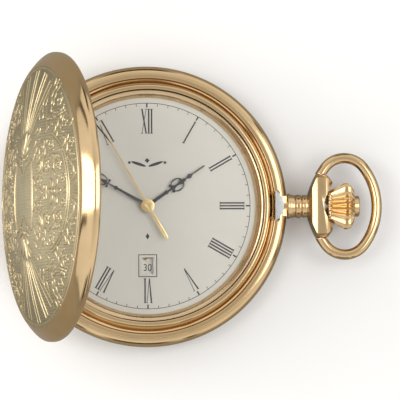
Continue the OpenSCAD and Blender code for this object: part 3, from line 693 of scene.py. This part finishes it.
class Engraving:
    # collects raised shapes on the shut cover, each a small closed solid that follows the dome
    everyWay = ((1, 1), (-1, 1), (1, -1), (-1, -1))
    bothSides = ((1, 1), (-1, 1))
    bothEnds = ((1, 1), (1, -1))

    def __init__(self, sunk):
        self.points, self.faces, self.sunk, self.taken = [], [], sunk, []

    def lift(self, x, y, high):
        return x, y, domeHeight(math.hypot(x, y)) + high

    def ribbon(self, line, widths, high, mirrors=everyWay):
        # a ridge along a line; it is pinched to a point where its width is nothing
        section = ((-1, -self.sunk), (-0.62, 0.7 * high), (0, high), (0.62, 0.7 * high),
                   (1, -self.sunk))
        for flipX, flipY in mirrors:
            rings = []
            for i, (x, y) in enumerate(line):
                before, after = line[max(i - 1, 0)], line[min(i + 1, len(line) - 1)]
                along = Vector((after[0] - before[0], after[1] - before[1])).normalized()
                if widths[i] < 0.01:
                    rings.append([len(self.points)])
                    self.points.append(self.lift(x * flipX, y * flipY, 0))
                    continue
                ring, thin = [], min(1, 0.4 + widths[i] * 3)
                for side, rise in section:
                    px, py = x - along.y * side * widths[i], y + along.x * side * widths[i]
                    ring.append(len(self.points))
                    self.points.append(self.lift(px * flipX, py * flipY, rise * thin))
                rings.append(ring)
            for a, b in zip(rings, rings[1:]):
                for k in range(5):
                    n = (k + 1) % 5
                    corners = [a[k % len(a)], a[n % len(a)], b[n % len(b)], b[k % len(b)]]
                    corners = list(dict.fromkeys(corners))
                    if len(corners) > 2:
                        self.faces.append(corners)
            for ring in (rings[0], rings[-1]):
                if len(ring) == 5:
                    self.faces.append(ring)

    def bead(self, x, y, radius, high, mirrors=everyWay, sides=8):
        for flipX, flipY in mirrors:
            first = len(self.points)
            for share, rise in ((1, -self.sunk), (0.75, 0.65 * high)):
                for k in range(sides):
                    a = math.tau * k / sides
                    self.points.append(self.lift((x + radius * share * math.cos(a)) * flipX,
                                                 (y + radius * share * math.sin(a)) * flipY, rise))
            self.points.append(self.lift(x * flipX, y * flipY, high))
            for k in range(sides):
                n = (k + 1) % sides
                self.faces.append([first + k, first + n, first + sides + n, first + sides + k])
                self.faces.append([first + sides + k, first + sides + n, first + 2 * sides])
            self.faces.append([first + k for k in range(sides)])

    def leaf(self, x, y, heading, length, width, bend, high, mirrors=everyWay):
        line, widths, count = [(x, y)], [0.0], 7
        for i in range(count):
            heading += bend / count
            x += length / count * math.cos(heading)
            y += length / count * math.sin(heading)
            line.append((x, y))
            swell = math.sin(math.pi * (i + 1) / count) if i + 1 < count else 0.0
            widths.append(width * swell ** 0.75)
        self.ribbon(line, widths, high, mirrors)

    def flower(self, x, y, size, petals, mirrors=everyWay, turn=0.0):
        for k in range(petals):
            a = turn + math.tau * k / petals
            self.leaf(x + 0.28 * size * math.cos(a), y + 0.28 * size * math.sin(a), a - 0.25,
                      size, 0.36 * size, 0.5, 0.15, mirrors)
        self.bead(x, y, 0.3 * size, 0.18, mirrors, 10)
        self.taken.append((x, y, 1.35 * size))

    def scroll(self, x, y, radius, start, turns, width, mirrors=everyWay):
        # winds inwards from its start, with leaves on its outer side and a bud in its eye
        count = int(26 * abs(turns)) + 4
        line, widths = [], []
        for i in range(count + 1):
            share = i / count
            r = radius * (1 - 0.78 * share ** 0.8)
            a = start + math.tau * turns * share
            line.append((x + r * math.cos(a), y + r * math.sin(a)))
            swell = math.sin(math.pi * min(1, share * 1.1 + 0.12))
            widths.append(width * (0.35 + 0.65 * swell) if i else 0.0)
            if i % 5 == 3 and share < 0.72:
                out = a + math.copysign(0.9, turns)
                self.leaf(line[-1][0], line[-1][1], out, 0.62 * radius ** 0.6, 0.26,
                          math.copysign(1.5, turns), 0.12, mirrors)
        self.ribbon(line, widths, 0.15, mirrors)
        self.bead(line[-1][0], line[-1][1], width * 1.5, 0.17, mirrors)
        self.taken.append((x, y, radius + 0.35))


reliefPlan = {
    "rimWire": 21.75, "seed": 7,
    "focus": 7.5, "rays": (0, 20, 36),  # the rays fan from here, at these degrees
    "compartment": 8.26, "arcs": (10.1, 10.74), "step": 1.25,
    # x, y, size, petals, which mirror images, turn
    "flowers": [(13.7, 0, 2.05, 6, Engraving.bothSides, 0),
                (10.6, 4.5, 0.62, 5, Engraving.everyWay, 0),
                (15.0, 4.3, 0.5, 5, Engraving.everyWay, 0),
                (14.6, 13.1, 1.0, 6, Engraving.everyWay, 0.3),
                (17.9, 5.0, 0.45, 5, Engraving.everyWay, 0)],
    # x, y, radius, start angle, turns, width
    "scrolls": [(10.6, 4.5, 2.1, 0.4, 1.45, 0.23), (15.0, 4.3, 1.55, 3.6, -1.3, 0.2),
                (11.9, 7.9, 1.05, 5.0, 1.2, 0.15), (8.1, 2.0, 1.0, 2.2, -1.2, 0.15),
                (17.0, 2.0, 0.8, 0.0, 1.1, 0.13), (16.1, 11.6, 1.25, 0.6, 1.3, 0.18),
                (12.9, 15.3, 1.2, 2.4, -1.3, 0.17), (18.9, 8.0, 0.85, 4.0, 1.2, 0.13)],
}


def engraveShield(work):
    # a double border, notched above and below; only its right half is drawn
    side = []
    for i in range(25):
        a = math.radians(-52 + 104 * i / 24)
        side.append((5.1 * math.cos(a) ** 0.55, 6.0 * math.sin(a) / math.sin(math.radians(52))))
    tip = side[0][0] - 0.9
    edge = [(0.0, -3.45), (0.7, -4.0), (1.5, -4.9), (tip, -5.55)] + side
    edge += [(side[-1][0] - 0.9, 5.55), (1.5, 4.9), (0.7, 4.0), (0.0, 3.45)]
    work.ribbon(edge, [0.15] * len(edge), 0.16, Engraving.bothSides)
    inner = [(x * 0.9, y * 0.92) for x, y in edge]
    work.ribbon(inner, [0.07] * len(inner), 0.09, Engraving.bothSides)


def engraveRays(work, focus, rays):
    # pairs of rays, and the palmette they spring from
    for degrees in rays:
        a = math.radians(degrees)
        mirrors = Engraving.bothEnds if degrees == 0 else Engraving.everyWay
        for side in (-0.36, 0.36):
            line = []
            for i in range(15):
                t = 3.3 + i * 0.75
                x = t * math.sin(a) + side * math.cos(a) * (1 + 0.06 * i)
                y = focus + t * math.cos(a) - side * math.sin(a) * (1 + 0.06 * i)
                if math.hypot(x, y) < 21.4:
                    line.append((x, y))
            work.ribbon(line, [0.0] + [0.11] * (len(line) - 1), 0.15, mirrors)
        work.leaf(0.9 * math.sin(a), focus - 1.2 + 0.9 * math.cos(a), math.pi / 2 - a,
                  3.6, 0.36, -0.25, 0.22, mirrors)
    for k in range(3):
        work.leaf(0.5, focus - 1.0 - 0.55 * k, 0.5 - 0.5 * k, 2.5 - 0.4 * k, 0.3, 0.9, 0.2)
    work.bead(0, focus - 1.3, 0.42, 0.24, Engraving.bothEnds, 12)


def engraveCompartments(work, centre, arcs):
    # round borders at the sides, and strings of beads from their tips to the rim
    for radius in arcs:
        arc = []
        for degrees in range(-74, 75, 4):
            a = math.radians(degrees)
            arc.append((centre + radius * math.cos(a), radius * math.sin(a)))
        work.ribbon(arc, [0.0] + [0.12] * (len(arc) - 2) + [0.0], 0.16, Engraving.bothSides)
    for i in range(20):
        t = i / 19
        x = 9.7 - 1.2 * t - 0.8 * math.sin(math.pi * t)
        work.bead(x, 11.0 + 8.2 * t, 0.17, 0.16, sides=6)


def engraveFoliage(work, look):
    # small leaves and beads flow round the nearest scroll wherever there is room
    chance = random.Random(look["seed"])
    cos36, sin36 = math.cos(math.radians(36)), math.sin(math.radians(36))
    step, focus = look["step"], look["focus"]
    for row in range(22):
        for column in range(18):
            x = 5.6 + step * (column + 0.5 * (row % 2)) + chance.uniform(-0.2, 0.2)
            y = 0.4 + step * 0.87 * row + chance.uniform(-0.2, 0.2)
            fromCentre = math.hypot(x - look["compartment"], y)
            fromRay = x * cos36 - (y - focus) * sin36
            inside = fromCentre < 9.55
            corner = fromCentre > 11.3 and fromRay > 1.0
            beadLine = abs(x - 9.1 + 0.13 * (y - 11)) < 0.7 and y > 10.6
            shield = x < 6.0 and y < 6.8
            if math.hypot(x, y) > 20.9 or not (inside or corner) or beadLine or shield:
                continue
            if inside and fromRay < 1.2:
                continue
            if any(math.hypot(x - a, y - b) < r * 0.92 for a, b, r in work.taken):
                continue
            near = min(look["scrolls"], key=lambda one: math.hypot(x - one[0], y - one[1]))
            flow = math.atan2(y - near[1], x - near[0]) + math.copysign(math.pi / 2, near[4])
            if chance.random() < 0.2:
                work.bead(x, y, chance.uniform(0.2, 0.3), 0.12, sides=8)
            else:
                work.leaf(x, y, flow + chance.uniform(-0.4, 0.4), chance.uniform(1.5, 2.1),
                          chance.uniform(0.34, 0.46), chance.uniform(-0.9, 0.9), 0.12)


def buildRelief(look):
    work = Engraving(0.08)
    turns = [math.tau * i / 180 for i in range(181)]
    ring = [(look["rimWire"] * math.cos(a), look["rimWire"] * math.sin(a)) for a in turns]
    work.ribbon(ring, [0.2] * 181, 0.12, ((1, 1),))
    engraveShield(work)
    engraveRays(work, look["focus"], look["rays"])
    engraveCompartments(work, look["compartment"], look["arcs"])
    for flower in look["flowers"]:
        work.flower(*flower)
    for scroll in look["scrolls"]:
        work.scroll(*scroll)
    engraveFoliage(work, look)
    mesh = bpy.data.meshes.new("coverRelief")
    mesh.from_pydata(work.points, [], work.faces)
    relief = bpy.data.objects.new("coverRelief", mesh)
    bpy.context.scene.collection.objects.link(relief)
    makeActive(relief)
    bpy.ops.object.mode_set(mode="EDIT")
    bpy.ops.mesh.select_all(action="SELECT")
    bpy.ops.mesh.normals_make_consistent(inside=False)
    bpy.ops.object.mode_set(mode="OBJECT")
    print("relief faces:", len(mesh.polygons))
    return settle(relief, "cover", reliefGold, ["cover_relief"], lid=True, smooth=50)


buildCover(coverLid)
buildRelief(reliefPlan)
print("front cover done")


# ---- hands, date and catch
def softened(node, name, body, slot, width):
    # a copy of a flat part, welded and with its edges eased by this width
    copy = frame["nodes"][node].copy()
    copy.data = copy.data.copy()
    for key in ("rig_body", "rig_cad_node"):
        if key in copy:
            del copy[key]
    copy.parent = None
    bpy.context.scene.collection.objects.link(copy)
    makeActive(copy)
    named(name)
    copy.matrix_world = Matrix.Scale(1000, 4)
    bpy.ops.object.transform_apply(location=True, rotation=True, scale=True)
    bpy.ops.object.mode_set(mode="EDIT")
    bpy.ops.mesh.select_all(action="SELECT")
    bpy.ops.mesh.remove_doubles(threshold=0.001)
    bpy.ops.mesh.dissolve_limited(angle_limit=math.radians(1))
    bpy.ops.object.mode_set(mode="OBJECT")
    bevelEdges(copy, width, 2, 40)
    return settle(copy, body, finishes[slot], [node], smooth=45)


# the number shown at rest, and how much narrower than its font each digit is
dateNumbers = {"size": 1.75, "radius": 10.75, "top": 5.8, "thick": 0.02, "shown": 30, "width": 0.88}


def buildDateNumbers(look):
    narrow = Matrix.Diagonal((look["width"], 1, 1, 1))
    place = Matrix.Translation((0, -look["radius"], look["top"] + look["thick"] / 2))
    numbers = []
    for number in range(1, 32):
        deselectAll()
        bpy.ops.object.text_add(location=(0, 0, 0))
        text = bpy.context.object
        text.data.body = str(number)
        text.data.size = look["size"]
        text.data.align_x, text.data.align_y = "CENTER", "CENTER"
        text.data.extrude = look["thick"] / 2
        text.data.resolution_u = 4
        bpy.ops.object.convert(target="MESH")
        piece = bpy.context.object
        angle = math.tau * (number - look["shown"]) / 31
        piece.matrix_world = Matrix.Rotation(angle, 4, "Z") @ place @ narrow
        bpy.ops.object.transform_apply(location=True, rotation=True, scale=True)
        numbers.append(piece)
    makeActive(numbers[0])
    for piece in numbers:
        piece.select_set(True)
    bpy.ops.object.join()
    digits = named("dateNumbers")
    bpy.ops.object.mode_set(mode="EDIT")
    closeUp(0.0001)
    black = finishes["print_black"]
    return settle(digits, "dates", black, ["date_digits"], smooth=20)


catchNib = {"radius": 3.15, "centre": 20.6, "front": 22.3, "bottom": 6.95, "top": 7.5, "soft": 0.25,
            "stalk": (22.65, 23.05), "half": 2.3, "leg": 1}


def buildCatch(look):
    # a D-shaped nib with a rounded edge, on a stalk of two legs
    nib = rodBetween("Z", look["radius"], look["bottom"], look["top"], look["centre"], 0, 128,
                     name="catchNib")
    combine(nib, boxBetween(look["front"], 25, -4, 4, 6, 8), "INTERSECT")
    bevelEdges(nib, look["soft"], 6, 40)
    half = look["half"]
    combine(nib, boxBetween(*look["stalk"], -half, half, 6.2, 7.0), "UNION")
    for y in (-half, half - look["leg"]):
        combine(nib, boxBetween(*look["stalk"], y, y + look["leg"], 4.3, 6.3), "UNION")
    return settle(nib, "latch", finishes["steel"], ["catch"], smooth=45)


softened("hour_hand", "hourHand", "hours", "hand_black", 0.035)
softened("minute_hand", "minuteHand", "minutes", "hand_black", 0.03)
softened("second_hand", "secondHand", "seconds", "second_hand_gilt", 0.02)
buildDateNumbers(dateNumbers)
buildCatch(catchNib)
print("hands, date and catch done")


# ---- light, floor and camera
def areaLight(name, place, size, watts, colour):
    light = bpy.data.lights.new(name, "AREA")
    light.shape = "RECTANGLE"
    light.size, light.size_y = size
    light.energy = watts
    light.color = colour
    lamp = bpy.data.objects.new(name, light)
    bpy.context.scene.collection.objects.link(lamp)
    lamp.location = place
    facing = Vector((0, 0, 0.005)) - Vector(place)
    lamp.rotation_euler = facing.to_track_quat("-Z", "Y").to_euler()
    lamp.visible_camera = False


studio = {
    "floorSize": 6, "floorDrop": -0.00002,
    "seen": ((0.93, 0.93, 0.93), (0.90, 0.90, 0.90)),
    "mirrored": (0.29, 0.275, 0.24), "patch": (0.9, 0.88, 0.84),
    "patchPlace": (1.45, 0, 0), "patchScale": (17, 30, 1),
    "sky": [(0.0, (0.9, 0.9, 0.9)), (0.2, (0.95, 0.95, 0.95)), (0.55, (1.0, 1.0, 1.0)),
            (0.86, (0.80, 0.79, 0.78)), (0.965, (0.62, 0.61, 0.60)), (1.0, (0.55, 0.54, 0.53))],
    "stands": (0.10, 0.085, 0.07), "skyStrength": 0.92,
    # place, size, watts, colour
    "lights": {"keyLight": ((-0.42, 0.045, 0.42), (0.28, 0.72), 1.7, (1.0, 0.98, 0.94)),
               "fillLight": ((0.36, 0.045, 0.55), (0.34, 0.34), 0.9, (1.0, 0.985, 0.95))},
}


def buildFloor(look):
    deselectAll()
    bpy.ops.mesh.primitive_plane_add(size=look["floorSize"], location=(0, 0, look["floorDrop"]))
    floor = named("floor")
    material, shader, place = startFinish("paleFloor")
    grain = place.noise(40, 3, 0.5)
    # pale to look at, darker to be mirrored, with a white patch beside the cover that lights
    # the middle of its engraving
    patch = place.node("Mapping", None, {"Vector": place, "Location": look["patchPlace"],
                                         "Scale": look["patchScale"]})
    patch = patch.node("TexGradient", {"gradient_type": "SPHERICAL"}, {0: patch}, 1)
    mirrored = patch.between(0.0, 0.4).colours(look["mirrored"], look["patch"])
    isSeen = place.node("LightPath")
    setShader(shader, {
        "Base Color": isSeen.colours(mirrored, grain.colours(*look["seen"])),
        "Roughness": grain * 0.1 + 0.75,
    })
    floor.data.materials.append(material)


def buildSky(look):
    world = bpy.data.worlds.new("studio")
    bpy.context.scene.world = world
    world.use_nodes = True
    tree = world.node_tree
    towards = Wire(tree, tree.nodes.new("ShaderNodeTexCoord").outputs["Generated"])
    height = towards.node("SeparateXYZ", None, {0: towards}, 2)
    sky = height.node("ValToRGB", {"stops": look["sky"]}, {0: height})
    # two dark stands low beside the table and seven thin posts give the polish something to mirror
    around = towards.node("TexGradient", {"gradient_type": "RADIAL"}, {0: towards}, 1)
    stands = around.maths("PINGPONG", around * 2.0, 0.5).between(0.40, 0.44)
    posts = around.maths("PINGPONG", around * 7.0 + 0.3, 0.5).between(0.42, 0.46)
    stands = stands.maths("MAXIMUM", stands, posts)
    low = 1.0 - height.between(0.34, 0.40)
    sky = (stands * low).colours(sky, look["stands"])
    background = tree.nodes["Background"]
    plug(tree, sky, background.inputs["Color"])
    background.inputs["Strength"].default_value = look["skyStrength"]


camera = {
    "lens": 442, "sensor": 36, "clip": (0.05, 20), "roll": math.radians(0.37),
    "target": (0.009205, 0.001035, 0.0064), "towards": (-0.0787, -0.068, 1), "distance": 0.855,
}


def buildCamera(look):
    data = bpy.data.cameras.new("camera")
    data.lens, data.sensor_width = look["lens"], look["sensor"]
    data.clip_start, data.clip_end = look["clip"]
    eye = bpy.data.objects.new("camera", data)
    bpy.context.scene.collection.objects.link(eye)
    back = Vector(look["towards"]).normalized()
    right = Vector((0, 1, 0)).cross(back).normalized()
    up = back.cross(right)
    c, s = math.cos(look["roll"]), math.sin(look["roll"])
    up, right = up * c + right * s, right * c - up * s
    turn = Matrix((right, up, back)).transposed().to_4x4()
    place = Vector(look["target"]) + back * look["distance"]
    eye.matrix_world = Matrix.Translation(place) @ turn
    bpy.context.scene.camera = eye


buildFloor(studio)
buildSky(studio)
for name, (place, size, watts, colour) in studio["lights"].items():
    areaLight(name, place, size, watts, colour)
buildCamera(camera)
bpy.context.scene.view_settings.view_transform = "Standard"
print("studio and camera done")
